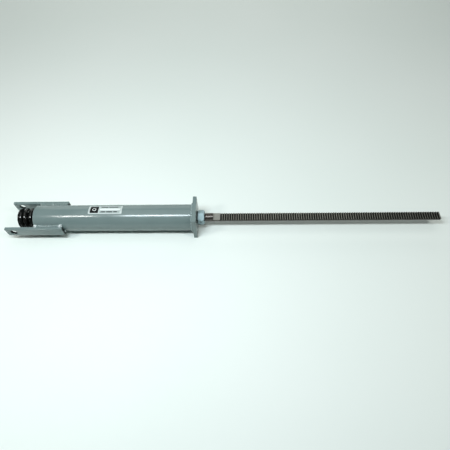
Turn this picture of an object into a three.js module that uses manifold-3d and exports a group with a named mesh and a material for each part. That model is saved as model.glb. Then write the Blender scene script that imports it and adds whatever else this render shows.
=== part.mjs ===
// Spring cylinder with a toothed pull rod: a tube that ends in two clevis ears, a coil spring
// inside it, and a round rod with rack teeth that pulls out through the square flange.
// Millimetres. X runs along the rod, towards the toothed end, and +Z is up.
// The origin is under the middle of the whole object, on the surface that the flange stands on.
import * as THREE from "three";
import { mergeVertices } from "three/addons/utils/BufferGeometryUtils.js";
import Module from "manifold-3d";

const wasm = await Module();
wasm.setup();

// Driving dimensions. Stations along X are measured from the open end of the tube.
const GAP = 0.3;
const TUBE_OUTER = 44.45;
const TUBE_INNER = 38.95;
const TUBE_LENGTH = 537.3;

const EAR_REACH = 96.5;
const EAR_OVERLAP = 99.5;
const EAR_HEIGHT = 38.1;
const EAR_THICKNESS = 9.525;
const EAR_INSIDE = 47.625;
const PIN_HOLE_RADIUS = 11.1;
const PIN_HOLE_FROM_END = 25.4;

const FLANGE_SIDE = 102;
const FLANGE_THICKNESS = 12.7;
const FLANGE_BORE_RADIUS = 22;
const FLANGE_WELD_LEG = 6.2;
const FLANGE_WELD_CROWN = 3.4;
const FLANGE_WELD_TOE = 0.6;

// Weld along an ear's edge, as [depth below the ear's inner face, height over the ear's middle] corners.
const EAR_WELD_SECTION = [
  [0.3, 12.8],
  [0.3, 21.6],
  [4, 23.4],
  [8.1, 21.9],
  [4.3, 12.8],
];
const EAR_WELD_INSET = 0.8;

const ROD_RADIUS = 14.29;
const ROD_END_RADIUS = 9.5;
const ROD_END = 1361.5;
const FLAT_START = 604.7;
const FLAT_HEIGHT = 4;
const TEETH_START = 629;
const TOOTH_PITCH = 2.5 * Math.PI;
const TOOTH_COUNT = 93;
const TOOTH_DEPTH = 4;
const TOOTH_TIP = 2.4;
const TOOTH_ROOT = 2.2;
const FACE_CHAMFER = 1.2;

const BUSH_RADIUS = 21.5;
const BUSH_STANDS_OUT = 3;
const BUSH_SHOULDER_RADIUS = 27;
const BUSH_SHOULDER = 3;
const BUSH_CHAMFER = 0.8;
const RUNNING_CLEARANCE = 0.45;

const SPRING_WIRE = 6.35;
const SPRING_RADIUS = 29.15;
const SPRING_OVERHANG = 54.4;
const SPRING_ACTIVE_TURNS = 27;
const SPRING_CLOSED_PITCH = 13.3;
const SPRING_START_ANGLE = 80;
const SPRING_GROUND_SHARE = 0.3;

const SEAT_RING_THICKNESS = 5.7;
const SEAT_RING_RADIUS = 37.5;

const CUP_LIP_RADIUS = 34;
const CUP_LIP = 3;
const CUP_OUTER = 21;
const CUP_INNER = 17.6;
const CUP_DEPTH = 33.7;
const CUP_FLOOR = 6;

const NUT_FACE_INSET = 0.4;
const NUT_BEVEL_SLOPE = 0.6;
const STOP_NUT_FLATS = 42.86;
const STOP_NUT_LENGTH = 22.2;
const STOP_PIN_RADIUS = 3;
const STOP_PIN_LENGTH = 39;
const END_NUT_FLATS = 28.58;
const END_NUT_LENGTH = 16;
const THRUST_WASHER = 3;
const THRUST_WASHER_RADIUS = 16.8;
const SPLIT_PIN_RADIUS = 1.6;
const SPLIT_PIN_LENGTH = 22;
const SPLIT_PIN_EYE_RADIUS = 2.7;
const SPLIT_PIN_EYE_WIRE = 1;
const SPLIT_PIN_BEHIND_NUT = 1;
const SPLIT_PIN_FROM_END = 2.2;

const LABEL_START = 187.5;
const LABEL_LENGTH = 114;
const LABEL_FROM_ANGLE = 62;
const LABEL_TO_ANGLE = 106;
const LABEL_THICKNESS = 0.5;

// Facets round each kind of round piece.
const TUBE_FACETS = 64;
const ROUND_FACETS = 40;
const PIN_FACETS = 16;
const COIL_STEPS = 11;
const WIRE_FACETS = 8;

// Stations that follow from the driving dimensions.
const flangeFace = TUBE_LENGTH + FLANGE_THICKNESS;
const bushFace = flangeFace + BUSH_STANDS_OUT;
const nutStart = bushFace + GAP;
const nutEnd = nutStart + STOP_NUT_LENGTH;
const seatFace = TUBE_LENGTH - GAP - SEAT_RING_THICKNESS;
const springEnd = seatFace - GAP;
const cupLipFace = -SPRING_OVERHANG - GAP;
const cupBack = cupLipFace + CUP_DEPTH - CUP_LIP;
const cupFloorFace = cupBack - CUP_FLOOR;
const rodShoulder = cupBack + GAP;
const thrustWasherFace = cupFloorFace - GAP - THRUST_WASHER;
const endNutFace = thrustWasherFace - GAP - END_NUT_LENGTH;
const splitPinStation = endNutFace - SPLIT_PIN_BEHIND_NUT - 2 * SPLIT_PIN_RADIUS;
const rodStart = splitPinStation - SPLIT_PIN_FROM_END;
const shankEnd = FLAT_START - GAP;
const objectMiddle = (ROD_END - EAR_REACH) / 2;

const radians = THREE.MathUtils.degToRad;

// Materials.
const paint = { color: 0x8b9a97, roughness: 0.45, metalness: 0.1 };
const weldPaint = { color: 0x93a09d, roughness: 0.55, metalness: 0.15 };
const springBlack = { color: 0x0c0f0e, roughness: 0.3, metalness: 0.2 };
const zinc = { color: 0xa9bfc4, roughness: 0.35, metalness: 0.8 };
const barSteel = { color: 0x8a8c84, roughness: 0.4, metalness: 0.85 };
const darkNylon = { color: 0x1a1f22, roughness: 0.6, metalness: 0 };
const labelFilm = { color: 0xd4d9da, roughness: 0.35, metalness: 0.1 };

// A closed BufferGeometry as a manifold-3d solid.
function solidOf(geometry) {
  const bare = geometry.index ? geometry.toNonIndexed() : geometry.clone();
  bare.deleteAttribute("normal");
  bare.deleteAttribute("uv");
  const merged = mergeVertices(bare, 1e-4);
  const mesh = new wasm.Mesh({
    numProp: 3,
    vertProperties: new Float32Array(merged.attributes.position.array),
    triVerts: new Uint32Array(merged.index.array),
  });
  return new wasm.Manifold(mesh);
}

// A manifold-3d solid back as a BufferGeometry.
function geometryOf(solid) {
  const mesh = solid.getMesh();
  const geometry = new THREE.BufferGeometry();
  geometry.setAttribute("position", new THREE.BufferAttribute(mesh.vertProperties, 3));
  geometry.setIndex(new THREE.BufferAttribute(mesh.triVerts, 1));
  geometry.computeVertexNormals();
  return geometry;
}

function cut(geometry, ...cutters) {
  const left = cutters.reduce((solid, cutter) => solid.subtract(solidOf(cutter)), solidOf(geometry));
  return geometryOf(left);
}

// A solid of revolution about X from [station, radius] pairs.
function turned(outline, segments) {
  const points = outline.map(([station, radius]) => new THREE.Vector2(radius, station));
  return new THREE.LatheGeometry(points, segments).rotateZ(-Math.PI / 2);
}

// A ring about X: inner and outer radius between two stations.
function ring(inner, outer, from, to, segments) {
  const outline = [
    [from, inner],
    [from, outer],
    [to, outer],
    [to, inner],
    [from, inner],
  ];
  return turned(outline, segments);
}

function rod(radius, from, to, segments) {
  const outline = [
    [from, 0],
    [from, radius],
    [to, radius],
    [to, 0],
  ];
  return turned(outline, segments);
}

function rectangle(width, height) {
  const shape = new THREE.Shape();
  shape.moveTo(-width / 2, -height / 2);
  shape.lineTo(width / 2, -height / 2);
  shape.lineTo(width / 2, height / 2);
  shape.lineTo(-width / 2, height / 2);
  return shape;
}

function withHole(shape, x, y, radius) {
  const hole = new THREE.Path();
  hole.absarc(x, y, radius, 0, 2 * Math.PI, true);
  shape.holes.push(hole);
  return shape;
}

// A shape drawn in the YZ plane and drawn out along X. A circle in it gets the given number of facets.
function alongX(shape, from, to, facets = ROUND_FACETS) {
  const options = { depth: to - from, bevelEnabled: false, curveSegments: facets / 2 };
  const geometry = new THREE.ExtrudeGeometry(shape, options);
  return geometry.rotateY(Math.PI / 2).rotateX(Math.PI / 2).translate(from, 0, 0);
}

// A shape drawn in the XZ plane and drawn out along Y.
function alongY(shape, from, to, facets = ROUND_FACETS) {
  const options = { depth: to - from, bevelEnabled: false, curveSegments: facets / 2 };
  const geometry = new THREE.ExtrudeGeometry(shape, options);
  return geometry.rotateX(Math.PI / 2).translate(0, to, 0);
}

function polygon(points) {
  return new THREE.Shape(points.map(([x, y]) => new THREE.Vector2(x, y)));
}

// Clevis ears: flat bars that stand a little off the tube on both sides, each with one pin hole.
function earPlate() {
  const length = EAR_REACH + EAR_OVERLAP;
  const shape = withHole(rectangle(length, EAR_HEIGHT), PIN_HOLE_FROM_END - length / 2, 0, PIN_HOLE_RADIUS);
  const plate = alongY(shape, 0, EAR_THICKNESS);
  return plate.translate(length / 2 - EAR_REACH, EAR_INSIDE, 0);
}

// Weld that bridges an ear's edge and the tube. edge is 1 for the upper edge and -1 for the lower one.
function earWeld(edge) {
  const section = polygon(EAR_WELD_SECTION.map(([depth, height]) => [EAR_INSIDE - depth, edge * height]));
  return alongX(section, EAR_WELD_INSET, EAR_OVERLAP - EAR_WELD_INSET);
}

function flangePlate() {
  const shape = withHole(rectangle(FLANGE_SIDE, FLANGE_SIDE), 0, 0, FLANGE_BORE_RADIUS);
  return alongX(shape, TUBE_LENGTH + GAP, flangeFace);
}

// Fillet all round between the tube and the flange.
function flangeWeld() {
  const back = TUBE_LENGTH;
  const inner = TUBE_OUTER + GAP;
  const rim = inner + FLANGE_WELD_LEG - FLANGE_WELD_TOE;
  const outline = [
    [back - FLANGE_WELD_LEG, inner],
    [back - FLANGE_WELD_LEG, inner + FLANGE_WELD_TOE],
    [back - (FLANGE_WELD_LEG - FLANGE_WELD_CROWN), inner + FLANGE_WELD_CROWN],
    [back - FLANGE_WELD_TOE, rim],
    [back, rim],
    [back, inner],
    [back - FLANGE_WELD_LEG, inner],
  ];
  return turned(outline, TUBE_FACETS);
}

// Bush that the rod slides through. Its inner shoulder lies against the flange's back.
function guideBush() {
  const bore = ROD_RADIUS + RUNNING_CLEARANCE;
  const outline = [
    [seatFace, bore],
    [seatFace, BUSH_RADIUS],
    [TUBE_LENGTH - BUSH_SHOULDER, BUSH_RADIUS],
    [TUBE_LENGTH - BUSH_SHOULDER, BUSH_SHOULDER_RADIUS],
    [TUBE_LENGTH, BUSH_SHOULDER_RADIUS],
    [TUBE_LENGTH, BUSH_RADIUS],
    [bushFace - BUSH_CHAMFER, BUSH_RADIUS],
    [bushFace, BUSH_RADIUS - BUSH_CHAMFER],
    [bushFace, bore],
    [seatFace, bore],
  ];
  return turned(outline, ROUND_FACETS);
}

// Ring that the spring presses on. Its recess holds the bush's shoulder against the flange.
function springSeatRing() {
  const recess = TUBE_LENGTH - BUSH_SHOULDER - GAP;
  const outline = [
    [seatFace, BUSH_RADIUS + GAP],
    [seatFace, SEAT_RING_RADIUS],
    [TUBE_LENGTH, SEAT_RING_RADIUS],
    [TUBE_LENGTH, BUSH_SHOULDER_RADIUS + GAP],
    [recess, BUSH_SHOULDER_RADIUS + GAP],
    [recess, BUSH_RADIUS + GAP],
    [seatFace, BUSH_RADIUS + GAP],
  ];
  return turned(outline, ROUND_FACETS);
}

// The wire's centre line: a closed turn at each end and open turns of one pitch between them.
class SpringCurve extends THREE.Curve {
  constructor() {
    super();
    this.turns = SPRING_ACTIVE_TURNS + 2;
    const inset = SPRING_WIRE * (1 - SPRING_GROUND_SHARE);
    this.first = inset - SPRING_OVERHANG;
    this.last = springEnd - inset;
    const active = this.last - this.first - 2 * SPRING_CLOSED_PITCH;
    this.pitch = active / SPRING_ACTIVE_TURNS;
  }
  getPoint(t, target = new THREE.Vector3()) {
    const turn = t * this.turns;
    const opened = THREE.MathUtils.clamp(turn - 1, 0, SPRING_ACTIVE_TURNS);
    const closed = turn - opened;
    const station = this.first + closed * SPRING_CLOSED_PITCH + opened * this.pitch;
    const angle = radians(SPRING_START_ANGLE) + 2 * Math.PI * turn;
    return target.set(station, SPRING_RADIUS * Math.cos(angle), SPRING_RADIUS * Math.sin(angle));
  }
}

// Compression spring with both ends ground flat.
function coilSpring() {
  const wire = new THREE.Shape().absarc(0, 0, SPRING_WIRE, 0, 2 * Math.PI);
  const curve = new SpringCurve();
  curve.arcLengthDivisions = ROUND_FACETS * curve.turns;
  const options = { steps: COIL_STEPS * curve.turns, extrudePath: curve, curveSegments: WIRE_FACETS / 2 };
  const coil = new THREE.ExtrudeGeometry(wire, options);
  const reach = SPRING_RADIUS + 3 * SPRING_WIRE;
  const depth = 3 * SPRING_WIRE;
  const leftStone = rod(reach, -SPRING_OVERHANG - depth, -SPRING_OVERHANG, PIN_FACETS);
  const rightStone = rod(reach, springEnd, springEnd + depth, PIN_FACETS);
  return cut(coil, leftStone, rightStone);
}

// Cup that carries the spring's free end, with the rod's end nut sunk inside it.
function springCup() {
  const outline = [
    [cupLipFace - CUP_LIP, CUP_INNER],
    [cupLipFace - CUP_LIP, CUP_LIP_RADIUS - FACE_CHAMFER],
    [cupLipFace - CUP_LIP + FACE_CHAMFER, CUP_LIP_RADIUS],
    [cupLipFace, CUP_LIP_RADIUS],
    [cupLipFace, CUP_OUTER],
    [cupBack, CUP_OUTER],
    [cupBack, ROD_END_RADIUS + RUNNING_CLEARANCE],
    [cupFloorFace, ROD_END_RADIUS + RUNNING_CLEARANCE],
    [cupFloorFace, CUP_INNER],
    [cupLipFace - CUP_LIP, CUP_INNER],
  ];
  return turned(outline, ROUND_FACETS);
}

// Hexagon nut about X with flats facing +Y and -Y and chamfered corners.
function hexNut(flats, boreRadius, from, to) {
  const corner = flats / Math.sqrt(3);
  const corners = Array.from({ length: 6 }, (_, i) => radians(30 + 60 * i));
  const hexagon = polygon(corners.map((a) => [corner * Math.cos(a), corner * Math.sin(a)]));
  const blank = alongX(hexagon, from, to);
  const face = flats / 2 - NUT_FACE_INSET;
  const waist = corner + GAP;
  const bevel = (waist - face) * NUT_BEVEL_SLOPE;
  const envelope = turned(
    [
      [from, 0],
      [from, face],
      [from + bevel, waist],
      [to - bevel, waist],
      [to, face],
      [to, 0],
    ],
    ROUND_FACETS,
  );
  const shaped = geometryOf(solidOf(blank).intersect(solidOf(envelope)));
  return cut(shaped, rod(boreRadius, from - bevel, to + bevel, ROUND_FACETS));
}

function crossHole(radius, station) {
  const reach = 2 * STOP_NUT_FLATS;
  return new THREE.CylinderGeometry(radius, radius, reach, PIN_FACETS).translate(station, 0, 0);
}

// Plain round part of the bar, with a stepped-down end for the end nut.
function rodShank() {
  const chamfer = FACE_CHAMFER;
  const bar = turned(
    [
      [rodStart, 0],
      [rodStart, ROD_END_RADIUS - chamfer],
      [rodStart + chamfer, ROD_END_RADIUS],
      [rodShoulder, ROD_END_RADIUS],
      [rodShoulder, ROD_RADIUS],
      [shankEnd, ROD_RADIUS],
      [shankEnd, 0],
    ],
    ROUND_FACETS,
  );
  const stopPinHole = crossHole(STOP_PIN_RADIUS + GAP, (nutStart + nutEnd) / 2);
  const splitPinHole = crossHole(SPLIT_PIN_RADIUS + GAP, splitPinStation);
  return cut(bar, stopPinHole, splitPinHole);
}

// The bar's milled part: a flat over its whole length with rack teeth cut across it.
function rackBar() {
  const bar = turned(
    [
      [FLAT_START, 0],
      [FLAT_START, ROD_RADIUS],
      [ROD_END - FACE_CHAMFER, ROD_RADIUS],
      [ROD_END, ROD_RADIUS - FACE_CHAMFER],
      [ROD_END, 0],
    ],
    ROUND_FACETS,
  );
  const clear = 2 * ROD_RADIUS;
  const outline = [
    [FLAT_START - clear, clear],
    [FLAT_START - clear, FLAT_HEIGHT],
  ];
  const flank = (TOOTH_PITCH - TOOTH_TIP - TOOTH_ROOT) / 2;
  for (let tooth = 0; tooth < TOOTH_COUNT; tooth += 1) {
    const start = TEETH_START + tooth * TOOTH_PITCH;
    outline.push([start, FLAT_HEIGHT]);
    outline.push([start + flank, FLAT_HEIGHT - TOOTH_DEPTH]);
    outline.push([start + flank + TOOTH_ROOT, FLAT_HEIGHT - TOOTH_DEPTH]);
    outline.push([start + 2 * flank + TOOTH_ROOT, FLAT_HEIGHT]);
  }
  outline.push([ROD_END + clear, FLAT_HEIGHT]);
  outline.push([ROD_END + clear, clear]);
  return cut(bar, alongY(polygon(outline), -clear, clear));
}

function stopNut() {
  const nut = hexNut(STOP_NUT_FLATS, ROD_RADIUS + GAP, nutStart, nutEnd);
  return cut(nut, crossHole(STOP_PIN_RADIUS + GAP, (nutStart + nutEnd) / 2));
}

// Rolled spring pin that locks the stop nut to the rod.
function stopNutPin() {
  const half = STOP_PIN_LENGTH / 2;
  const pin = ring(STOP_PIN_RADIUS / 2, STOP_PIN_RADIUS, -half, half, PIN_FACETS);
  return pin.rotateZ(Math.PI / 2).translate((nutStart + nutEnd) / 2, 0, 0);
}

// Split pin with its eye, through the stepped-down end of the rod.
function splitPin() {
  const leg = new THREE.CylinderGeometry(SPLIT_PIN_RADIUS, SPLIT_PIN_RADIUS, SPLIT_PIN_LENGTH, PIN_FACETS);
  const eye = new THREE.TorusGeometry(SPLIT_PIN_EYE_RADIUS, SPLIT_PIN_EYE_WIRE, WIRE_FACETS, PIN_FACETS);
  eye.rotateY(Math.PI / 2).translate(0, SPLIT_PIN_LENGTH / 2 + SPLIT_PIN_EYE_RADIUS - SPLIT_PIN_EYE_WIRE, 0);
  const pin = geometryOf(solidOf(leg).add(solidOf(eye)));
  return pin.translate(splitPinStation, 0, 0);
}

// Blank name label, curved to the tube.
function nameLabel() {
  const inner = TUBE_OUTER + GAP;
  const from = radians(LABEL_FROM_ANGLE);
  const to = radians(LABEL_TO_ANGLE);
  const sector = new THREE.Shape();
  sector.absarc(0, 0, inner + LABEL_THICKNESS, from, to, false);
  sector.absarc(0, 0, inner, to, from, true);
  return alongX(sector, LABEL_START, LABEL_START + LABEL_LENGTH, PIN_FACETS);
}

// Assembly.
const part = new THREE.Group();
const assembly = new THREE.Group();
assembly.position.set(-objectMiddle, 0, FLANGE_SIDE / 2);
part.add(assembly);

function place(name, geometry, look) {
  const mesh = new THREE.Mesh(geometry, new THREE.MeshStandardMaterial(look));
  mesh.name = name;
  assembly.add(mesh);
  return mesh;
}

place("barrel_tube", ring(TUBE_INNER, TUBE_OUTER, 0, TUBE_LENGTH, TUBE_FACETS), paint);

// The near side faces -Y: it is the far side turned half round about X, so its edges swap.
for (const side of ["near", "far"]) {
  const near = side === "near";
  const turn = near ? Math.PI : 0;
  const up = near ? -1 : 1;
  place("clevis_plate_" + side, earPlate(), paint).rotation.x = turn;
  place("clevis_weld_" + side + "_upper", earWeld(up), weldPaint).rotation.x = turn;
  place("clevis_weld_" + side + "_lower", earWeld(-up), weldPaint).rotation.x = turn;
}

place("flange_plate", flangePlate(), paint);
place("flange_weld", flangeWeld(), weldPaint);
place("rod_guide_bush", guideBush(), darkNylon);
place("spring_seat_ring", springSeatRing(), zinc);
place("name_label", nameLabel(), labelFilm);
place("coil_spring", coilSpring(), springBlack);
place("spring_cup", springCup(), springBlack);

place("rod_shank", rodShank(), barSteel);
place("rack_bar", rackBar(), barSteel);
place("stop_nut", stopNut(), zinc);
place("stop_nut_pin", stopNutPin(), springBlack);
const washerBore = ROD_END_RADIUS + GAP;
const washerEnd = thrustWasherFace + THRUST_WASHER;
const washer = ring(washerBore, THRUST_WASHER_RADIUS, thrustWasherFace, washerEnd, ROUND_FACETS);
place("cup_thrust_washer", washer, zinc);
place("rod_end_nut", hexNut(END_NUT_FLATS, washerBore, endNutFace, endNutFace + END_NUT_LENGTH), zinc);
place("cotter_pin", splitPin(), zinc);

export default part;
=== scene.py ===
"""Studio scene of a spring cylinder with a toothed pull rod, built around its CAD frame.

Everything is in metres in the frame's axes: X runs along the rod, Z is up, and the floor is at z = 0.
"""
import math
import bmesh
import bpy
from mathutils import Matrix, Vector, noise


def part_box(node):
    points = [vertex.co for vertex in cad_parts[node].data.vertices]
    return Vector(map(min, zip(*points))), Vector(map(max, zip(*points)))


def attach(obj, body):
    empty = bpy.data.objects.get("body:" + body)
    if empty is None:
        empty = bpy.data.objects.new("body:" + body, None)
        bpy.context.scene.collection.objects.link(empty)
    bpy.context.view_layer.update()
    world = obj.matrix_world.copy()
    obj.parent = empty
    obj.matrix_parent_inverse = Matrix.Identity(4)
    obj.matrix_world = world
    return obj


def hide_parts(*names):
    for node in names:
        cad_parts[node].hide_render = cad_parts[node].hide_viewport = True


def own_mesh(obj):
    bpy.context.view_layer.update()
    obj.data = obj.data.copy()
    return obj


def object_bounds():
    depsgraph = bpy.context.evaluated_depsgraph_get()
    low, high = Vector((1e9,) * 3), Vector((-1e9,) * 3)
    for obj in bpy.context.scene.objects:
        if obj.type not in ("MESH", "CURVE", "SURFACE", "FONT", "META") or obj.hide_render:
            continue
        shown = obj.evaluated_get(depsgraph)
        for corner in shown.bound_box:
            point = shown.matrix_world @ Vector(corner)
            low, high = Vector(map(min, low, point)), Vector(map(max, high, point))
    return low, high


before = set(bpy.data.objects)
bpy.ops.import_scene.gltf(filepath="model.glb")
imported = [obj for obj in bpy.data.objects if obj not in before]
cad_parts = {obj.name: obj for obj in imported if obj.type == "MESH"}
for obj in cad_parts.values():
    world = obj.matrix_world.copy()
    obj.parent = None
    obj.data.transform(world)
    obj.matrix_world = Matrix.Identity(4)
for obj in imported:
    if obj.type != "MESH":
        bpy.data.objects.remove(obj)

CAD_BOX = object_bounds()
MM = 0.001
SMOOTH_BELOW = math.radians(24)


# ---------------------------------------------------------------------------------- places


def low(node):
    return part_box(node)[0]


def high(node):
    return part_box(node)[1]


def half_height(node):
    return (high(node).z - low(node).z) / 2


AXIS_Z = (low("barrel_tube").z + high("barrel_tube").z) / 2
TUBE_RADIUS = half_height("barrel_tube")
TUBE_START = low("barrel_tube").x
TUBE_END = high("barrel_tube").x
ROD_RADIUS = half_height("rod_shank")
EAR_INNER_FACE = low("clevis_plate_far").y


# ---------------------------------------------------------------------------------- materials


class Nodes:
    """Short calls for building one material's node tree around a Principled shader."""

    def __init__(self, name):
        self.material = bpy.data.materials.new(name)
        self.material.use_nodes = True
        self.tree = self.material.node_tree
        self.shader = self.tree.nodes["Principled BSDF"]
        self.coordinates = self.add("ShaderNodeTexCoord").outputs["Object"]

    def add(self, kind, **settings):
        node = self.tree.nodes.new(kind)
        for key, value in settings.items():
            setattr(node, key, value)
        return node

    def link(self, source, target):
        self.tree.links.new(source, target)

    def set(self, **values):
        for key, value in values.items():
            self.shader.inputs[key.replace("_", " ")].default_value = value

    def stretched(self, scale):
        """Object coordinates with their own scale on each axis."""
        mapping = self.add("ShaderNodeMapping")
        mapping.inputs["Scale"].default_value = scale
        self.link(self.coordinates, mapping.inputs["Vector"])
        return mapping.outputs["Vector"]

    def noise(self, scale, detail=3.0, rough=0.5, where=None):
        node = self.add("ShaderNodeTexNoise")
        node.inputs["Scale"].default_value = scale
        node.inputs["Detail"].default_value = detail
        node.inputs["Roughness"].default_value = rough
        self.link(where or self.coordinates, node.inputs["Vector"])
        return node.outputs["Fac"]

    def spread(self, value, start, end, to_start=0.0, to_end=1.0):
        """A value's stretch from start to end, laid out from to_start to to_end."""
        node = self.add("ShaderNodeMapRange")
        for socket, number in zip(node.inputs[1:5], (start, end, to_start, to_end)):
            socket.default_value = number
        self.link(value, node.inputs["Value"])
        return node.outputs["Result"]

    def combine(self, operation, first, second):
        node = self.add("ShaderNodeMath", operation=operation)
        for socket, value in zip(node.inputs, (first, second)):
            if isinstance(value, (int, float)):
                socket.default_value = value
            else:
                self.link(value, socket)
        return node.outputs["Value"]

    def mix(self, factor, first, second):
        """A colour between two others."""
        node = self.add("ShaderNodeMix", data_type="RGBA")
        self.link(factor, node.inputs["Factor"])
        for socket, value in zip(node.inputs[6:8], (first, second)):
            if isinstance(value, tuple):
                socket.default_value = (*value, 1.0)
            else:
                self.link(value, socket)
        return node.outputs[2]

    def edges(self, radius, start, end):
        """1 on edges that a bevel of this radius would round, 0 on flat stretches."""
        bevel = self.add("ShaderNodeBevel", samples=6)
        bevel.inputs["Radius"].default_value = radius
        geometry = self.add("ShaderNodeNewGeometry")
        dot = self.add("ShaderNodeVectorMath", operation="DOT_PRODUCT")
        self.link(bevel.outputs["Normal"], dot.inputs[0])
        self.link(geometry.outputs["Normal"], dot.inputs[1])
        return self.spread(dot.outputs["Value"], start, end, 1.0, 0.0)

    def colour(self, source):
        self.link(source, self.shader.inputs["Base Color"])

    def rough(self, source):
        self.link(source, self.shader.inputs["Roughness"])

    def bump(self, height, distance, strength=1.0, after=None):
        node = self.add("ShaderNodeBump")
        node.inputs["Strength"].default_value = strength
        node.inputs["Distance"].default_value = distance
        self.link(height, node.inputs["Height"])
        if after:
            self.link(after, node.inputs["Normal"])
        self.link(node.outputs["Normal"], self.shader.inputs["Normal"])
        return node.outputs["Normal"]


def enamel(name, base, dark, chip, roughness=(0.24, 0.38), wear=0.35):
    """Sprayed machine enamel: slight orange peel, handling marks and thin paint on the edges."""
    m = Nodes(name)
    tone = m.spread(m.noise(9.0, 5.0, 0.6), 0.35, 0.7)
    body = m.mix(tone, dark, base)
    scuffs = m.spread(m.noise(60.0, 6.0, 0.75, m.stretched((0.35, 1.0, 1.0))), 0.64, 0.76, 0.0, 0.5)
    body = m.mix(scuffs, body, tuple(min(1.0, c * 1.18) for c in base))
    broken = m.spread(m.noise(420.0, 4.0, 0.7), 0.5, 0.62)
    worn = m.combine("MULTIPLY", m.edges(0.9 * MM, 0.9, 0.995), broken)
    worn = m.combine("MULTIPLY", worn, wear)
    m.colour(m.mix(worn, body, chip))
    m.rough(m.spread(m.noise(35.0, 4.0, 0.6), 0.3, 0.7, *roughness))
    m.set(Metallic=0.0, Specular_IOR_Level=0.5)
    peel = m.bump(m.noise(330.0, 2.0), 0.012 * MM, 0.3)
    m.bump(m.noise(2600.0, 1.0), 0.004 * MM, 0.3, after=peel)
    return m.material


def weld_enamel(name, base, dark, bright):
    """Enamel over weld metal: random darker patches, bright speckles that are partly bare crests and partly
    painted glints, fine spatter grain.
    """
    m = Nodes(name)
    body = m.mix(m.spread(m.noise(120.0, 5.0, 0.7), 0.35, 0.7), dark, base)
    # Bright speckles: partly bare weld metal, partly painted glints.
    bare_and_glint_speckle = m.spread(m.noise(420.0, 5.0, 0.7), 0.5, 0.6, 0.0, 0.85)
    m.colour(m.mix(bare_and_glint_speckle, body, bright))
    m.rough(m.spread(m.noise(240.0, 4.0), 0.3, 0.7, 0.1, 0.28))
    m.bump(m.noise(900.0, 4.0, 0.7), 0.25 * MM, 0.6)
    return m.material


def black_enamel(name):
    """Dipped black enamel on round spring wire."""
    m = Nodes(name)
    dust = m.spread(m.noise(70.0, 5.0, 0.65), 0.45, 0.8)
    m.colour(m.mix(dust, (0.0025, 0.0035, 0.003), (0.009, 0.008, 0.007)))
    m.rough(m.spread(m.noise(160.0, 4.0), 0.3, 0.7, 0.1, 0.18))
    m.set(Specular_IOR_Level=0.5)
    m.bump(m.noise(380.0, 3.0), 0.03 * MM, 0.3)
    return m.material


def zinc(name, light, dark, roughness=(0.3, 0.48), metallic=0.75):
    """Bright zinc plate with a faint blue passivation and small stains."""
    m = Nodes(name)
    stain = m.spread(m.noise(140.0, 5.0, 0.65), 0.35, 0.72)
    body = m.mix(stain, light, dark)
    worn = m.edges(0.6 * MM, 0.9, 0.995)
    m.colour(m.mix(worn, body, tuple(min(1.0, c * 1.25) for c in light)))
    m.rough(m.spread(m.noise(300.0, 5.0), 0.3, 0.7, *roughness))
    m.set(Metallic=metallic)
    m.bump(m.noise(1200.0, 3.0), 0.03 * MM, 0.4)
    return m.material


def mill_scale(name, base, streak):
    """Dark drawn bar: lengthwise die lines under a film of oil."""
    m = Nodes(name)
    lines = m.noise(1.0, 6.0, 0.7, m.stretched((14.0, 700.0, 700.0)))
    m.colour(m.mix(m.spread(lines, 0.35, 0.7), base, streak))
    m.rough(m.spread(m.noise(90.0, 4.0), 0.3, 0.7, 0.22, 0.36))
    m.set(Metallic=0.6)
    m.bump(lines, 0.04 * MM, 0.5)
    return m.material


def milled(name, light, dark, roughness=(0.3, 0.46)):
    """Freshly milled steel: fine cutter lines across the bar."""
    m = Nodes(name)
    lines = m.noise(1.0, 5.0, 0.7, m.stretched((1800.0, 30.0, 60.0)))
    smears = m.spread(m.noise(45.0, 5.0, 0.6), 0.4, 0.75)
    m.colour(m.mix(smears, light, dark))
    m.rough(m.spread(lines, 0.3, 0.7, *roughness))
    m.set(Metallic=0.85)
    m.bump(lines, 0.02 * MM, 0.5)
    return m.material


def moulded(name, base, roughness=0.5):
    """Dark machined nylon."""
    m = Nodes(name)
    grain = m.noise(1.0, 4.0, 0.6, m.stretched((900.0, 120.0, 120.0)))
    m.colour(m.mix(m.spread(grain, 0.3, 0.7), base, tuple(c * 1.6 for c in base)))
    m.rough(m.spread(grain, 0.3, 0.7, roughness - 0.08, roughness + 0.08))
    m.bump(grain, 0.03 * MM, 0.4)
    return m.material


def film(name, base, dark, roughness=0.3, metallic=0.0, shine=0.5):
    """Printed foil or film, a little scuffed."""
    m = Nodes(name)
    m.colour(m.mix(m.spread(m.noise(260.0, 5.0, 0.7), 0.5, 0.75), base, dark))
    m.rough(m.spread(m.noise(90.0, 3.0), 0.3, 0.7, roughness - 0.06, roughness + 0.1))
    m.set(Metallic=metallic, Specular_IOR_Level=shine)
    m.bump(m.noise(180.0, 3.0), 0.05 * MM, 0.25)
    return m.material


def floor_paper(name):
    m = Nodes(name)
    m.colour(m.mix(m.spread(m.noise(1.1, 2.0), 0.3, 0.7), (0.70, 0.755, 0.715), (0.73, 0.775, 0.74)))
    m.rough(m.spread(m.noise(30.0, 3.0), 0.3, 0.7, 0.75, 0.9))
    m.bump(m.noise(700.0, 2.0), 0.02 * MM, 0.2)
    return m.material


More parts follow.
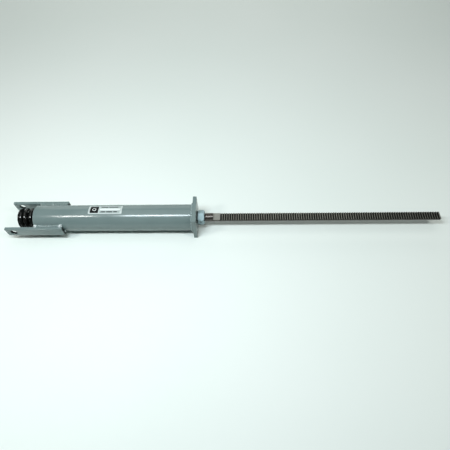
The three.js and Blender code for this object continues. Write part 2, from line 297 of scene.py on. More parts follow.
GREY_PAINT = enamel(
    "grey_enamel",
    (0.152, 0.200, 0.193),
    (0.134, 0.181, 0.176),
    (0.22, 0.25, 0.24),
    roughness=(0.14, 0.22),
    wear=0.25,
)
WELD_PAINT = weld_enamel("weld_enamel", (0.17, 0.225, 0.22), (0.11, 0.155, 0.15), (0.42, 0.48, 0.47))
# Plainer weld enamel for the far beads, which sit in shade: no painted glints.
WELD_PLAIN = weld_enamel("weld_plain", (0.152, 0.2, 0.193), (0.115, 0.155, 0.15), (0.2, 0.25, 0.24))
# Much lighter weld enamel for the near beads' ends: a painted highlight.
WELD_PAINTED_HIGHLIGHT = weld_enamel("weld_painted_highlight", (0.6, 0.66, 0.65), (0.32, 0.37, 0.36), (0.93, 0.97, 0.96))
# Lighter enamel for the tube's open rim and the flange's outer face: a painted highlight on the rim and a
# painted reflection on the face, with chipped edges.
PAINTED_LIGHT_ENAMEL = enamel("painted_light_enamel", (0.3, 0.36, 0.35), (0.24, 0.29, 0.28), (0.4, 0.45, 0.44), (0.2, 0.3), 0.4)
BLACK = black_enamel("spring_enamel")
ZINC = zinc("zinc_plate", (0.3, 0.4, 0.42), (0.21, 0.29, 0.3), (0.5, 0.62), 0.3)
DULL_ZINC = zinc("dull_zinc", (0.46, 0.5, 0.5), (0.3, 0.33, 0.33))
BAR_SKIN = mill_scale("bar_skin", (0.05, 0.043, 0.038), (0.085, 0.076, 0.068))
BAR_MILLED = milled("bar_milled", (0.36, 0.36, 0.33), (0.27, 0.275, 0.25))
# Copies of the milled steel: near-black for the tooth flanks and roots (painted shade), lighter for the
# tooth tips (painted highlight).
BAR_GAPS_PAINTED_SHADE = milled("bar_gaps_painted_shade", (0.04, 0.042, 0.036), (0.02, 0.021, 0.018), (0.3, 0.5))
BAR_TIPS_PAINTED_HIGHLIGHT = milled("bar_tips_painted_highlight", (0.4, 0.395, 0.345), (0.29, 0.285, 0.25), (0.26, 0.4))
# Near-black steel for the ears' end faces and pin-hole walls: painted shade in the holes, darker end faces.
DARK_ENDS_HOLE_SHADE = mill_scale("dark_ends_hole_shade", (0.02, 0.025, 0.025), (0.04, 0.047, 0.046))
NYLON = moulded("dark_nylon", (0.006, 0.008, 0.009))
OXIDE = mill_scale("black_oxide", (0.02, 0.02, 0.02), (0.05, 0.05, 0.048))
LABEL_FOIL = film("label_foil", (0.5, 0.56, 0.545), (0.41, 0.47, 0.46), 0.32, 0.3)
LABEL_INK = film("label_ink", (0.003, 0.004, 0.004), (0.008, 0.01, 0.01), 0.45, shine=0.2)
LABEL_TINT = film("label_tint", (0.31, 0.365, 0.355), (0.25, 0.3, 0.29), 0.35)
LABEL_WHITE = film("label_white", (0.68, 0.73, 0.71), (0.58, 0.63, 0.62), 0.3)


# ---------------------------------------------------------------------------------- mesh tools


def piece(name, bm, body, slot, *materials):
    """The finished mesh as an object with its materials, shading and body. The slot argument is not used."""
    bmesh.ops.remove_doubles(bm, verts=bm.verts, dist=1e-7)
    bmesh.ops.recalc_face_normals(bm, faces=bm.faces)
    for face in bm.faces:
        face.smooth = True
    for edge in bm.edges:
        edge.smooth = len(edge.link_faces) == 2 and edge.calc_face_angle(0.0) < SMOOTH_BELOW
    mesh = bpy.data.meshes.new(name)
    bm.to_mesh(mesh)
    bm.free()
    for material in materials:
        mesh.materials.append(material)
    made = bpy.data.objects.new(name, mesh)
    bpy.context.scene.collection.objects.link(made)
    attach(made, body)
    return made


def skin(rings, ends="cap"):
    """Faces over rings of points. Ends are capped, or with "join" the last ring meets the first."""
    bm = bmesh.new()
    loops = [[bm.verts.new(point) for point in ring] for ring in rings]
    pairs = list(zip(loops, loops[1:]))
    if ends == "join":
        pairs.append((loops[-1], loops[0]))
    count = len(loops[0])
    for first, second in pairs:
        for i in range(count):
            j = (i + 1) % count
            bm.faces.new((first[i], first[j], second[j], second[i]))
    if ends == "cap":
        bm.faces.new(loops[0][::-1])
        bm.faces.new(loops[-1])
    return bm


def around(x, radius, segments, start=0.0):
    """A circle of points about the cylinder's axis. The radius may be a function of the angle."""
    points = []
    for i in range(segments):
        angle = start + 2 * math.pi * i / segments
        r = radius(angle) if callable(radius) else radius
        points.append(Vector((x, r * math.cos(angle), AXIS_Z + r * math.sin(angle))))
    return points


def rounded(outline, radius, steps=3):
    """A closed 2-D outline with its corners rounded off."""
    points = [Vector(p) for p in outline]
    result = []
    for i, corner in enumerate(points):
        back = points[i - 1] - corner
        ahead = points[(i + 1) % len(points)] - corner
        reach = radius / math.tan(back.angle(ahead) / 2)
        reach = min(reach, 0.45 * back.length, 0.45 * ahead.length)
        start = corner + back.normalized() * reach
        end = corner + ahead.normalized() * reach
        for step in range(steps + 1):
            t = step / steps
            result.append((1 - t) ** 2 * start + 2 * t * (1 - t) * corner + t * t * end)
    return result


def turned(outline, corner_radius, segments=96):
    """A ring-shaped solid about the axis from a closed (x, radius) outline."""
    rings = [around(p.x, p.y, segments) for p in rounded(outline, corner_radius)]
    return skin(rings, "join")


def ring_outline(x0, x1, inner, outer):
    return [(x0, inner), (x0, outer), (x1, outer), (x1, inner)]


def pierced_plate(width, height, corner, hole_at, hole_radius, thickness, edge, place):
    """A rectangular plate with a round hole and eased edges. place(u, v, w) gives a point in space."""
    centre = Vector((hole_at, 0.0))
    stops = []
    for i in range(96):
        angle = 2 * math.pi * i / 96
        ray = Vector((math.cos(angle), math.sin(angle)))
        limits = []
        if ray.x:
            reach = (math.copysign(width / 2, ray.x) - centre.x) / ray.x
            limits.append((Vector((math.copysign(1, ray.x), 0)), reach))
        if abs(ray.y) > 1e-6:
            reach = math.copysign(height / 2, ray.y) / ray.y
            limits.append((Vector((0, math.copysign(1, ray.y))), reach))
        normal, reach = min(limits, key=lambda limit: limit[1])
        point = centre + ray * reach
        inside_x = abs(point.x) < width / 2 - corner - 1e-6
        inside_y = abs(point.y) < height / 2 - corner - 1e-6
        if inside_x or inside_y:
            stops.append((point, normal))
    for sx, sy, turn in ((1, 1, 0), (-1, 1, 90), (-1, -1, 180), (1, -1, 270)):
        middle = Vector((sx * (width / 2 - corner), sy * (height / 2 - corner)))
        for step in range(5):
            angle = math.radians(turn + 22.5 * step)
            normal = Vector((math.cos(angle), math.sin(angle)))
            stops.append((middle + normal * corner, normal))
    stops.sort(key=lambda stop: math.atan2(stop[0].y - centre.y, stop[0].x - centre.x))

    def outer(inset, w):
        return [place(*(p - n * inset), w) for p, n in stops]

    def hole(widen, w):
        spokes = [(p - centre).normalized() for p, n in stops]
        return [place(*(centre + s * (hole_radius + widen)), w) for s in spokes]

    ease = 0.3 * edge
    rings = [
        hole(edge, 0.0),
        outer(edge, 0.0),
        outer(ease, ease),
        outer(0.0, edge),
        outer(0.0, thickness - edge),
        outer(ease, thickness - ease),
        outer(edge, thickness),
        hole(edge, thickness),
        hole(ease, thickness - ease),
        hole(0.0, thickness - edge),
        hole(0.0, edge),
        hole(ease, ease),
    ]
    return skin(rings, "join")


def bead(path, radius, pitch, seed, sides=18, blobs=0.0):
    """A weld bead along path, a list of (centre, outward, along) vectors one short step apart.

    Ripples cross it at the given pitch, and blobs swells both ends by that share."""
    rings = []
    travelled = 0.0
    total = sum((b[0] - a[0]).length for a, b in zip(path, path[1:]))
    for i, (centre, outward, along) in enumerate(path):
        if i:
            travelled += (centre - path[i - 1][0]).length
        side = along.cross(outward).normalized()
        end = min(travelled, total - travelled)
        taper = math.sqrt(max(0.0, min(1.0, 1 - (1 - min(1.0, end / (0.9 * radius))) ** 2)))
        swell = 1 + blobs * math.exp(-((end - radius) / (1.3 * radius)) ** 2)
        ring = []
        for k in range(sides):
            angle = 2 * math.pi * k / sides
            bow = 0.35 * radius * math.cos(angle)
            wave = abs(math.sin(math.pi * (travelled - bow) / pitch))
            spot = Vector((centre.x * 190, 1.1 * math.cos(angle), 1.1 * math.sin(angle) + seed))
            lump = noise.noise(spot)
            r = radius * swell * taper * (0.88 + 0.12 * wave + 0.3 * lump)
            ring.append(centre + r * (outward * math.cos(angle) + side * math.sin(angle)))
        rings.append(ring)
    return skin(rings)


def joined(name, body, slot, meshes, *materials):
    """Several closed meshes as one piece."""
    bm = bmesh.new()
    for part in meshes:
        mesh = bpy.data.meshes.new("part")
        part.to_mesh(mesh)
        part.free()
        bm.from_mesh(mesh)
        bpy.data.meshes.remove(mesh)
    return piece(name, bm, body, slot, *materials)


# ---------------------------------------------------------------------------------- barrel


TUBE_WALL = 5.5 * MM


def make_tube():
    outline = ring_outline(TUBE_START, TUBE_END, TUBE_RADIUS - TUBE_WALL, TUBE_RADIUS)
    bm = turned(outline, 1.4 * MM, 160)
    # The open rim's faces take the lighter enamel: a painted highlight along the rim.
    for face in bm.faces:
        if face.calc_center_median().x < TUBE_START + 1.2 * MM:
            face.material_index = 1
    tube = piece("tube", bm, "barrel", "grey_paint", GREY_PAINT, PAINTED_LIGHT_ENAMEL)
    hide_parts("barrel_tube")


PIN_HOLE = 11.1 * MM
PIN_HOLE_FROM_END = 25.4 * MM


def make_ears():
    for side, sign in (("near", -1), ("far", 1)):
        node = "clevis_plate_" + side
        start, end = low(node), high(node)
        middle_x = (start.x + end.x) / 2

        def place(u, v, w, sign=sign, middle_x=middle_x):
            return Vector((middle_x + u, sign * (EAR_INNER_FACE + w), AXIS_Z + v))

        bm = pierced_plate(
            width=end.x - start.x,
            height=end.z - start.z,
            corner=0.9 * MM,
            hole_at=PIN_HOLE_FROM_END - (end.x - start.x) / 2,
            hole_radius=PIN_HOLE,
            thickness=end.y - start.y,
            edge=0.8 * MM,
            place=place,
        )
        # End faces and pin-hole walls take the near-black material: painted shade inside the hole, darker
        # end faces.
        pin_x = start.x + PIN_HOLE_FROM_END
        for face in bm.faces:
            middle = face.calc_center_median()
            from_pin = math.hypot(middle.x - pin_x, middle.z - AXIS_Z)
            if middle.x > end.x - 0.1 * MM or from_pin < PIN_HOLE + 0.05 * MM:
                face.material_index = 1
        ear = piece("ear_" + side, bm, "barrel", "grey_paint", GREY_PAINT, DARK_ENDS_HOLE_SHADE)
        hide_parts(node)


def straight(start, end, outward, step=0.5 * MM):
    count = max(2, round((end - start).length / step))
    along = (end - start).normalized()
    return [(start.lerp(end, i / count), outward, along) for i in range(count + 1)]


WELD_PAINTED_HIGHLIGHT_END = 11 * MM
WELD_RADIUS = 4.3 * MM
WELD_RIPPLE = 3.4 * MM


def make_ear_welds():
    """Rippled beads that bridge the ears' long edges and the tube, swollen at both ends of each run."""
    ear_top = half_height("clevis_plate_far")
    for side, sign in (("near", -1), ("far", 1)):
        for edge, up in (("upper", 1), ("lower", -1)):
            node = f"clevis_weld_{side}_{edge}"
            y = sign * (EAR_INNER_FACE - 3.6 * MM)
            z = AXIS_Z + up * (ear_top - 1.0 * MM)
            outward = Vector((0, -0.3 * sign, up)).normalized()
            path = straight(Vector((low(node).x, y, z)), Vector((high(node).x, y, z)), outward)
            bm = bead(path, WELD_RADIUS, WELD_RIPPLE, seed=7 * sign + up, blobs=0.45)
            # On the near side the ends of each run take the much lighter weld material as a painted
            # highlight; the far runs take the plainer weld material without painted glints.
            for face in bm.faces:
                x = face.calc_center_median().x
                if min(x - low(node).x, high(node).x - x) < WELD_PAINTED_HIGHLIGHT_END:
                    face.material_index = 1
            paints = (WELD_PAINT, WELD_PAINTED_HIGHLIGHT) if side == "near" else (WELD_PLAIN, WELD_PLAIN)
            run = piece(f"weld_{side}_{edge}", bm, "barrel", "painted_weld", *paints)
            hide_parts(node)


FLANGE_HOLE = 22.0 * MM


def make_flange():
    start, end = low("flange_plate"), high("flange_plate")

    def place(u, v, w):
        return Vector((start.x + w, u, AXIS_Z + v))

    bm = pierced_plate(
        width=end.y - start.y,
        height=end.z - start.z,
        corner=0.9 * MM,
        hole_at=0.0,
        hole_radius=FLANGE_HOLE,
        thickness=end.x - start.x,
        edge=0.7 * MM,
        place=place,
    )
    # The outer face takes the lighter enamel: a painted reflection of the bright floor.
    for face in bm.faces:
        if face.calc_center_median().x > end.x - 0.1 * MM:
            face.material_index = 1
    plate = piece("flange", bm, "barrel", "grey_paint", GREY_PAINT, PAINTED_LIGHT_ENAMEL)
    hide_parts("flange_plate")


FILLET_RADIUS = 4.0 * MM
FILLET_RIPPLES = 84


def make_flange_weld():
    """A rippled fillet all round the tube where it meets the flange."""
    x = high("flange_weld").x - 1.9 * MM
    reach = TUBE_RADIUS + 1.4 * MM
    path = []
    steps = 420
    for i in range(steps):
        angle = 2 * math.pi * i / steps
        radial = Vector((0, math.cos(angle), math.sin(angle)))
        along = Vector((0, -math.sin(angle), math.cos(angle)))
        centre = Vector((x, 0, AXIS_Z)) + radial * reach
        path.append((centre, (radial - Vector((0.9, 0, 0))).normalized(), along))
    rings = []
    pitch = 2 * math.pi * reach / FILLET_RIPPLES
    for i, (centre, outward, along) in enumerate(path):
        side = along.cross(outward).normalized()
        travelled = 2 * math.pi * reach * i / steps
        ring = []
        for k in range(18):
            angle = 2 * math.pi * k / 18
            wave = abs(math.sin(math.pi * (travelled - 1.4 * MM * math.cos(angle)) / pitch))
            rough = noise.noise(centre * 120 + Vector((0, 0, angle)))
            r = FILLET_RADIUS * (0.9 + 0.1 * wave + 0.12 * rough)
            ring.append(centre + r * (outward * math.cos(angle) + side * math.sin(angle)))
        rings.append(ring)
    run = piece("flange_fillet", skin(rings, "join"), "barrel", "painted_weld", WELD_PAINT)
    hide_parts("flange_weld")


BORE = ROD_RADIUS + 0.35 * MM


def make_bush():
    start, end = low("rod_guide_bush").x, high("rod_guide_bush").x
    shoulder = half_height("rod_guide_bush")
    body = FLANGE_HOLE - 0.5 * MM
    recess = TUBE_END - 3.3 * MM
    outline = [
        (start, BORE),
        (start, body),
        (recess + 0.3 * MM, body),
        (recess + 0.3 * MM, shoulder),
        (TUBE_END, shoulder),
        (TUBE_END, body),
        (end, body),
        (end, BORE),
    ]
    bush = piece("guide_bush", turned(outline, 0.6 * MM), "barrel", "dark_nylon", NYLON)
    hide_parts("rod_guide_bush")
    rim = half_height("spring_seat_ring")
    outline = [
        (start, FLANGE_HOLE),
        (start, rim),
        (TUBE_END, rim),
        (TUBE_END, shoulder + 0.3 * MM),
        (recess, shoulder + 0.3 * MM),
        (recess, FLANGE_HOLE),
    ]
    seat = piece("seat_ring", turned(outline, 0.5 * MM), "barrel", "zinc_plate", DULL_ZINC)
    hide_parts("spring_seat_ring")


# ---------------------------------------------------------------------------------- label


def wrapped(x, angle, lift):
    r = TUBE_RADIUS + lift
    return Vector((x, r * math.cos(angle), AXIS_Z + r * math.sin(angle)))


def patch(x0, x1, from_angle, to_angle, lift, depth, corner=0.0):
    """A thin rounded rectangle bent round the tube."""
    rows = 24
    arc = TUBE_RADIUS * (to_angle - from_angle)
    rings = []
    for level in (lift, lift + depth):
        for i in range(rows + 1):
            t = i / rows
            edge = min(t, 1 - t) * arc
            cut = 0.0
            if edge < corner:
                cut = corner - math.sqrt(corner**2 - (corner - edge) ** 2)
            angle = from_angle + t * (to_angle - from_angle)
            rings.append((level, angle, x0 + cut, x1 - cut))
    lower = rings[: rows + 1]
    upper = rings[rows + 1 :]
    bm = bmesh.new()

    def row(entries):
        pairs = []
        for level, angle, left, right in entries:
            points = (wrapped(left, angle, level), wrapped(right, angle, level))
            pairs.append([bm.verts.new(point) for point in points])
        return pairs

    bottom, top = row(lower), row(upper)
    for sheet in (bottom, top):
        for (a, b), (c, d) in zip(sheet, sheet[1:]):
            bm.faces.new((a, b, d, c))
    for i in range(rows):
        for k in (0, 1):
            bm.faces.new((bottom[i][k], bottom[i + 1][k], top[i + 1][k], top[i][k]))
    for i in (0, rows):
        bm.faces.new((bottom[i][0], bottom[i][1], top[i][1], top[i][0]))
    return bm


LABEL_ARC = (math.radians(62), math.radians(106))


def make_label():
    x0, x1 = low("name_label").x, high("name_label").x
    a0, a1 = LABEL_ARC
    foil = piece(
        "label",
        patch(x0, x1, a0, a1, 0.05 * MM, 0.22 * MM, 2.5 * MM),
        "barrel",
        "label_film",
        LABEL_FOIL,
    )
    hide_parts("name_label")
    top = 0.27 * MM
    ink = 0.04 * MM
    turn = a1 - a0
    # A blank dark square with a plain ring, then a tinted field with a white band and plain bars.
    square = patch(x0 + 6 * MM, x0 + 34 * MM, a0 + 0.09 * turn, a0 + 0.91 * turn, top, ink)
    joined("label_square", "barrel", "label_film", [square], LABEL_INK)
    fields = [
        patch(x0 + 39 * MM, x1 - 7 * MM, a0 + 0.07 * turn, a0 + 0.36 * turn, top, ink),
        patch(x0 + 39 * MM, x1 - 7 * MM, a0 + 0.64 * turn, a0 + 0.93 * turn, top, ink),
    ]
    joined("label_fields", "barrel", "label_film", fields, LABEL_TINT)
    band = patch(x0 + 39 * MM, x1 - 7 * MM, a0 + 0.38 * turn, a0 + 0.62 * turn, top, ink)
    joined("label_band", "barrel", "label_film", [band], LABEL_WHITE)
    bars = []
    for row, widths in ((0.2, (22, 30)), (0.79, (15, 20, 12))):
        x = x0 + 43 * MM
        for width in widths:
            centre = a0 + row * turn
            bars.append(patch(x, x + width * MM, centre - 0.05 * turn, centre + 0.05 * turn, top + ink, ink))
            x += (width + 4) * MM
    joined("label_bars", "barrel", "label_film", bars, LABEL_INK)
    mark = []
    centre_x = x0 + 20 * MM
    centre_angle = a0 + 0.5 * turn
    for i in range(40):
        spoke = 2 * math.pi * i / 40
        ring = []
        for reach, lift in ((4.4, 0), (6.2, 0), (6.2, 1), (4.4, 1)):
            x = centre_x + reach * MM * math.cos(spoke)
            angle = centre_angle + reach * MM * math.sin(spoke) / TUBE_RADIUS
            ring.append(wrapped(x, angle, top + ink + lift * ink))
        mark.append(ring)
    piece("label_ring", skin(mark, "join"), "barrel", "label_film", LABEL_WHITE)


# ---------------------------------------------------------------------------------- spring


WIRE = 6.35 * MM
COIL = 29.15 * MM
CLOSED_PITCH = 13.3 * MM
ACTIVE_TURNS = 27
START_ANGLE = math.radians(80)
TURN_STEPS = 44
WIRE_SIDES = 20


def make_spring():
    start, end = low("coil_spring").x, high("coil_spring").x
    first, last = start + 0.7 * WIRE, end - 0.7 * WIRE
    turns = ACTIVE_TURNS + 2
    pitch = (last - first - 2 * CLOSED_PITCH) / ACTIVE_TURNS
    rings = []
    for step in range(turns * TURN_STEPS + 1):
        turn = step / TURN_STEPS
        opened = min(max(turn - 1, 0), ACTIVE_TURNS)
        x = first + (turn - opened) * CLOSED_PITCH + opened * pitch
        angle = START_ANGLE + 2 * math.pi * turn
        radial = Vector((0, math.cos(angle), math.sin(angle)))
        along = Vector((pitch / (2 * math.pi * COIL), -math.sin(angle), math.cos(angle))).normalized()
        side = along.cross(radial).normalized()
        centre = Vector((x, 0, AXIS_Z)) + radial * COIL
        ring = []
        for k in range(WIRE_SIDES):
            a = 2 * math.pi * k / WIRE_SIDES
            point = centre + WIRE * (radial * math.cos(a) + side * math.sin(a))
            point.x = min(max(point.x, start), end)
            ring.append(point)
        rings.append(ring)
    spring = piece("spring", skin(rings), "barrel", "black_enamel", BLACK)
    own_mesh(spring)
    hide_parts("coil_spring")


CUP_WALL = 3.4 * MM


def make_cup():
    start, end = low("spring_cup").x, high("spring_cup").x
    lip = half_height("spring_cup")
    body = 21.0 * MM
    floor = end - 6.0 * MM
    bore = 9.8 * MM
    outline = [
        (start, body - CUP_WALL),
        (start, lip),
        (start + 3 * MM, lip),
        (start + 3 * MM, body),
        (end, body),
        (end, bore),
        (floor, bore),
        (floor, body - CUP_WALL),
    ]
    cup = piece("cup", turned(outline, 0.8 * MM), "spring_carrier", "black_enamel", BLACK)
    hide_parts("spring_cup")


# ---------------------------------------------------------------------------------- rod


THREAD_PITCH = 3.63 * MM
THREAD_DEPTH = 1.9 * MM
THREAD_BEYOND_NUT = 5.5 * MM
FLAT_START = 604.7 * MM
TEETH_START = 629 * MM
FLAT_HEIGHT = 4.0 * MM
TOOTH_PITCH = 2.5 * math.pi * MM
TOOTH_COUNT = 93
TOOTH_DEPTH = 4.0 * MM
TOOTH_TIP = 2.4 * MM
TOOTH_ROOT = 2.2 * MM
TOOTH_EASE = 0.35 * MM
ARC_POINTS = 56
CHORD_POINTS = 5


def rod_section(x, radius, top):
    """A slice of the bar: its round part, closed across by a flat at height top over the axis."""
    top = min(top, radius)
    edge = math.asin(max(-1.0, min(1.0, top / radius)))
    points = []
    for i in range(ARC_POINTS + 1):
        angle = math.pi - edge + (math.pi + 2 * edge) * i / ARC_POINTS
        points.append(Vector((x, radius * math.cos(angle), AXIS_Z + radius * math.sin(angle))))
    half = radius * math.cos(edge)
    for i in range(1, CHORD_POINTS):
        y = half - 2 * half * i / CHORD_POINTS
        points.append(Vector((x, y, AXIS_Z + radius * math.sin(edge))))
    return points


def tooth_profile():
    """(x, height) along the milled side, measured from the tube's open end."""
    tip, root = FLAT_HEIGHT, FLAT_HEIGHT - TOOTH_DEPTH
    flank = (TOOTH_PITCH - TOOTH_TIP - TOOTH_ROOT) / 2
    drop = 0.8 * TOOTH_EASE
    fall = drop * flank / TOOTH_DEPTH
    profile = []
    for tooth in range(TOOTH_COUNT):
        x = TEETH_START + tooth * TOOTH_PITCH
        rise = x + flank + TOOTH_ROOT
        profile += [
            (x - TOOTH_EASE, tip),
            (x + fall, tip - drop),
            (x + flank - fall, root + drop),
            (x + flank + TOOTH_EASE, root),
            (rise - TOOTH_EASE, root),
            (rise + fall, root + drop),
            (rise + flank - fall, tip - drop),
            (rise + flank + TOOTH_EASE, tip),
        ]
    return profile


def threaded(x, radius, fade):
    """A slice of the bar with a helical V thread."""
    points = rod_section(x, radius, radius)
    for point in points:
        angle = math.atan2(point.z - AXIS_Z, point.y)
        phase = (x / THREAD_PITCH - angle / (2 * math.pi)) % 1.0
        depth = THREAD_DEPTH * fade * min(1.0, max(0.0, 1.25 - 2.5 * abs(phase - 0.5)))
        scale = (radius - depth) / radius
        point.y *= scale
        point.z = AXIS_Z + (point.z - AXIS_Z) * scale
    return points


ROD_MATERIALS = (BAR_SKIN, BAR_MILLED, BAR_GAPS_PAINTED_SHADE, BAR_TIPS_PAINTED_HIGHLIGHT)


def make_rod():
    start, end = low("rod_shank").x, high("rack_bar").x
    shoulder = high("spring_cup").x + 0.3 * MM
    step_radius = 9.5 * MM
    chamfer = 1.2 * MM
    full = ROD_RADIUS
    sections = [
        rod_section(start, step_radius - chamfer, full),
        rod_section(start + chamfer, step_radius, full),
        rod_section(shoulder, step_radius, full),
        rod_section(shoulder, full - 0.8 * MM, full),
        rod_section(shoulder + 0.8 * MM, full, full),
        rod_section(TUBE_END - 20 * MM, full, full),
    ]
    thread_end = high("stop_nut").x + THREAD_BEYOND_NUT
    x = TUBE_END - 20 * MM
    while x < thread_end:
        fade = min(1.0, (thread_end - x) / THREAD_PITCH)
        sections.append(threaded(x, full, fade))
        x += THREAD_PITCH / 10
    sections.append(rod_section(thread_end, full, full))
    flat = TUBE_START + FLAT_START
    corner = 1.5 * MM
    sections.append(rod_section(flat - 0.4 * MM, full, full))
    for i in range(12):
        drop = (full - FLAT_HEIGHT - corner) * i / 11
        sections.append(rod_section(flat - 0.02 * MM * (11 - i), full, full - 0.02 * MM - drop))
    for i in range(1, 6):
        angle = math.pi / 2 * i / 5
        height = FLAT_HEIGHT + corner * (1 - math.sin(angle))
        sections.append(rod_section(flat + corner * (1 - math.cos(angle)), full, height))
    sections += [rod_section(TUBE_START + px, full, height) for px, height in tooth_profile()]
    sections += [
        rod_section(end - 1.0 * MM, full, FLAT_HEIGHT),
        rod_section(end, full - 1.0 * MM, FLAT_HEIGHT - 0.5 * MM),
    ]
    bm = skin(sections)
    bm.normal_update()
    teeth_from = TUBE_START + TEETH_START - 0.6 * MM
    tip_height = AXIS_Z + FLAT_HEIGHT - 0.05 * MM
    for face in bm.faces:
        middle = face.calc_center_median()
        from_axis = math.hypot(middle.y, middle.z - AXIS_Z)
        cut = middle.x > flat - 0.5 * MM and from_axis < full - 0.25 * MM
        # Tooth tips take the lighter steel copy (painted highlight); flanks and roots take the near-black
        # copy (painted shade).
        if cut and teeth_from < middle.x < end - 0.5 * MM:
            face.material_index = ROD_MATERIALS.index(BAR_TIPS_PAINTED_HIGHLIGHT if middle.z > tip_height else BAR_GAPS_PAINTED_SHADE)
        elif cut or middle.x > end - 0.5 * MM:
            face.material_index = ROD_MATERIALS.index(BAR_MILLED)
    bar = piece("rack_rod", bm, "rod", "bar_steel", *ROD_MATERIALS)
    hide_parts("rod_shank", "rack_bar")


# ---------------------------------------------------------------------------------- nuts and pins


NUT_SEGMENTS = 96
NUT_CHAMFER_STEPS = 8


def nut_mesh(node, bore):
    """Chamfered hexagon nut with flats facing +Y and -Y."""
    x0, x1 = low(node).x, high(node).x
    flats = (high(node).y - low(node).y) / 2
    corner = flats / math.cos(math.pi / 6)
    face = 0.95 * flats
    depth = (corner - face) * math.tan(math.radians(30))

    def hexagon(limit):
        def radius(angle):
            off = (angle + math.pi / 6) % (math.pi / 3) - math.pi / 6
            return min(flats / math.cos(off), corner - 0.25 * MM, limit)

        return radius

    rings = [
        around(x0 + 0.2 * MM, bore + 1.2 * MM, NUT_SEGMENTS),
        around(x0, bore + 1.4 * MM, NUT_SEGMENTS),
    ]
    shares = [i / NUT_CHAMFER_STEPS for i in range(NUT_CHAMFER_STEPS + 1)]
    for share in shares:
        rings.append(around(x0 + depth * share, hexagon(face + (corner - face) * share), NUT_SEGMENTS))
    for share in shares[::-1]:
        rings.append(around(x1 - depth * share, hexagon(face + (corner - face) * share), NUT_SEGMENTS))
    rings += [
        around(x1, bore + 1.4 * MM, NUT_SEGMENTS),
        around(x1 - 1.4 * MM, bore, NUT_SEGMENTS),
        around(x0 + 1.4 * MM, bore, NUT_SEGMENTS),
    ]
    return skin(rings, "join")


def drilled(target, radius):
    """Cuts a hole along Y through the middle of the piece, with the cutter taken away afterwards."""
    xs = [v.co.x for v in target.data.vertices]
    middle = (min(xs) + max(xs)) / 2
    rings = []
    for y in (-40 * MM, 40 * MM):
        ring = []
        for i in range(40):
            angle = 2 * math.pi * i / 40
            ring.append(Vector((middle + radius * math.cos(angle), y, AXIS_Z + radius * math.sin(angle))))
        rings.append(ring)
    bm = skin(rings)
    bmesh.ops.recalc_face_normals(bm, faces=bm.faces)
    mesh = bpy.data.meshes.new("drill")
    bm.to_mesh(mesh)
    bm.free()
    drill = bpy.data.objects.new("drill", mesh)
    bpy.context.scene.collection.objects.link(drill)
    modifier = target.modifiers.new("hole", "BOOLEAN")
    modifier.operation = "DIFFERENCE"
    modifier.solver = "EXACT"
    modifier.object = drill
    bpy.context.view_layer.update()
    evaluated = target.evaluated_get(bpy.context.evaluated_depsgraph_get())
    cut = bpy.data.meshes.new_from_object(evaluated)
    target.modifiers.clear()
    target.data = cut
    bpy.data.objects.remove(drill)


def make_nuts():
    nut = piece("hex_stop_nut", nut_mesh("stop_nut", BORE), "rod", "zinc_plate", ZINC)
    drilled(nut, 3.2 * MM)
    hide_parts("stop_nut")
    end_nut = piece("hex_end_nut", nut_mesh("rod_end_nut", 9.6 * MM), "rod", "zinc_plate", DULL_ZINC)
    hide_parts("rod_end_nut")
    node = "cup_thrust_washer"
    outline = ring_outline(low(node).x, high(node).x, 9.8 * MM, half_height(node))
    washer = piece("thrust_washer", turned(outline, 0.4 * MM, 72), "rod", "zinc_plate", DULL_ZINC)
    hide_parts(node)


def make_roll_pin():
    """Rolled spring pin with its lengthwise slot, a little below the nut's faces."""
    node = "stop_nut_pin"
    centre_x = (low(node).x + high(node).x) / 2
    outer = half_height(node)
    inner = 0.6 * outer
    slot = math.radians(14)
    ys = [low(node).y, low(node).y + 0.8 * MM, high(node).y - 0.8 * MM, high(node).y]
    rings = []
    for y, shrink in zip(ys, (0.8, 1.0, 1.0, 0.8)):
        ring = []
        for radius, order in ((outer * shrink, 1), (inner, -1)):
            for i in range(25):
                t = i / 24 if order == 1 else 1 - i / 24
                angle = slot + t * (2 * math.pi - 2 * slot)
                x = centre_x + radius * math.cos(angle)
                ring.append(Vector((x, y, AXIS_Z + radius * math.sin(angle))))
        rings.append(ring)
    pin = piece("roll_pin", skin(rings), "rod", "dark_steel", OXIDE)
    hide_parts(node)


def make_split_pin():
    """Split pin: a half-round wire doubled back on itself, with an eye and two bent tips."""
    node = "cotter_pin"
    x = (low(node).x + high(node).x) / 2
    wire = 1.45 * MM
    eye_at = high(node).y - 3.2 * MM
    tip_at = low(node).y
    legs = []
    for sign in (-1, 1):
        centre_line = [
            Vector((tip_at + 0.4 * MM, sign * 3.0 * MM)),
            Vector((tip_at + 1.6 * MM, sign * 0.9 * MM)),
        ]
        straight_length = eye_at - tip_at - 7 * MM
        for i in range(9):
            centre_line.append(Vector((tip_at + 3.2 * MM + i * straight_length / 8, sign * 0.8 * MM)))
        for i in range(13):
            angle = math.pi * (1 - i / 12)
            bow = Vector((eye_at + 0.2 * MM + 2.0 * MM * math.cos(angle), sign * 2.2 * MM * math.sin(angle)))
            centre_line.append(bow)
        legs.append(centre_line)
    meshes = []
    for line in legs:
        rings = []
        for i, point in enumerate(line):
            ahead = line[min(i + 1, len(line) - 1)] - line[max(i - 1, 0)]
            along = Vector((0, ahead.x, ahead.y)).normalized()
            across = Vector((1, 0, 0))
            up = across.cross(along)
            centre = Vector((x, point.x, AXIS_Z + point.y))
            ring = []
            for k in range(14):
                a = 2 * math.pi * k / 14
                ring.append(centre + across * wire * math.cos(a) + up * 0.5 * wire * math.sin(a))
            rings.append(ring)
        meshes.append(skin(rings))
    pin = joined("split_pin", "rod", "zinc_plate", meshes, DULL_ZINC)
    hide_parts(node)


# ---------------------------------------------------------------------------------- studio


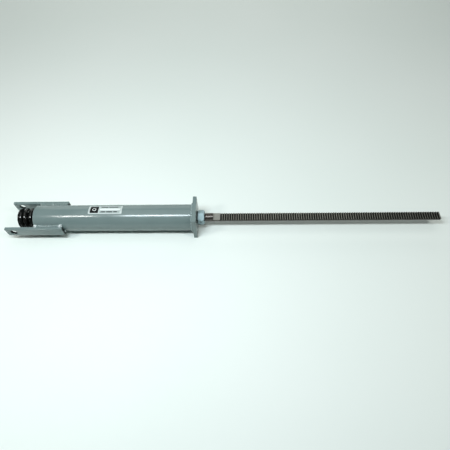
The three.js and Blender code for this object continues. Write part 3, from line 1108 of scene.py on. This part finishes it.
def make_floor():
    bm = bmesh.new()
    size = 9.0
    level = CAD_BOX[0][2]
    corners = [(-size, -size, level), (size, -size, level), (size, size, level), (-size, size, level)]
    bm.faces.new([bm.verts.new(corner) for corner in corners])
    mesh = bpy.data.meshes.new("floor")
    bm.to_mesh(mesh)
    bm.free()
    mesh.materials.append(floor_paper("floor_paper"))
    floor = bpy.data.objects.new("floor", mesh)
    bpy.context.scene.collection.objects.link(floor)


def area_light(name, at, aim, size, power, colour):
    data = bpy.data.lights.new(name, "AREA")
    data.shape = "RECTANGLE"
    data.size, data.size_y = size
    data.energy = power
    data.color = colour
    light = bpy.data.objects.new(name, data)
    light.location = at
    light.rotation_euler = (Vector(aim) - Vector(at)).to_track_quat("-Z", "Y").to_euler()
    bpy.context.scene.collection.objects.link(light)


LAMPS = (
    ("lamp_left", (-1.29, -0.46, 1.47), (0.4, 0.2), 9.5, (1.0, 0.985, 0.95)),
    ("lamp_middle", (-0.36, -0.425, 1.47), (0.7, 0.19), 18.0, (0.84, 0.94, 1.0)),
    ("lamp_right", (1.4, -0.64, 1.95), (0.5, 0.22), 15.0, (1.0, 1.0, 0.97)),
)


def make_lights():
    """Three soft lamps nearly overhead, and two large faint panels above and behind the part."""
    for name, at, size, power, colour in LAMPS:
        area_light(name, at, (at[0], 0.0, AXIS_Z), size, power, colour)
    area_light("ceiling", (-0.2, 0.5, 2.6), (-0.2, 0.4, 0.0), (3.2, 2.6), 24.0, (0.98, 1.0, 0.97))
    area_light("backdrop", (-0.3, 2.4, 0.95), (-0.3, 0.0, 0.4), (4.0, 1.6), 22.0, (0.98, 1.0, 0.97))
    world = bpy.data.worlds.new("studio")
    world.use_nodes = True
    background = world.node_tree.nodes["Background"]
    background.inputs["Color"].default_value = (0.78, 0.96, 1.0, 1.0)
    background.inputs["Strength"].default_value = 0.07
    bpy.context.scene.world = world
    bpy.context.scene.view_settings.view_transform = "Standard"


CAMERA_AT = (0.0627, -0.7350, 1.1609)
CAMERA_DOWN = math.radians(57.58)
CAMERA_TURN = math.radians(4.05)
CAMERA_ROLL = math.radians(-3.75)
CAMERA_LENS = 31.3


def make_camera():
    data = bpy.data.cameras.new("camera")
    data.lens = CAMERA_LENS
    data.sensor_width = 36.0
    data.clip_end = 50.0
    camera = bpy.data.objects.new("camera", data)
    turn = Matrix.Rotation(CAMERA_TURN, 3, "Z")
    tilt = Matrix.Rotation(math.pi / 2 - CAMERA_DOWN, 3, "X")
    roll = Matrix.Rotation(CAMERA_ROLL, 3, "Z")
    camera.location = CAMERA_AT
    camera.rotation_euler = (turn @ tilt @ roll).to_euler()
    bpy.context.scene.collection.objects.link(camera)
    bpy.context.scene.camera = camera


make_camera()
make_lights()
make_floor()
make_tube()
make_ears()
make_ear_welds()
make_flange()
make_flange_weld()
make_bush()
make_label()
make_spring()
make_cup()
make_rod()
make_nuts()
make_roll_pin()
make_split_pin()
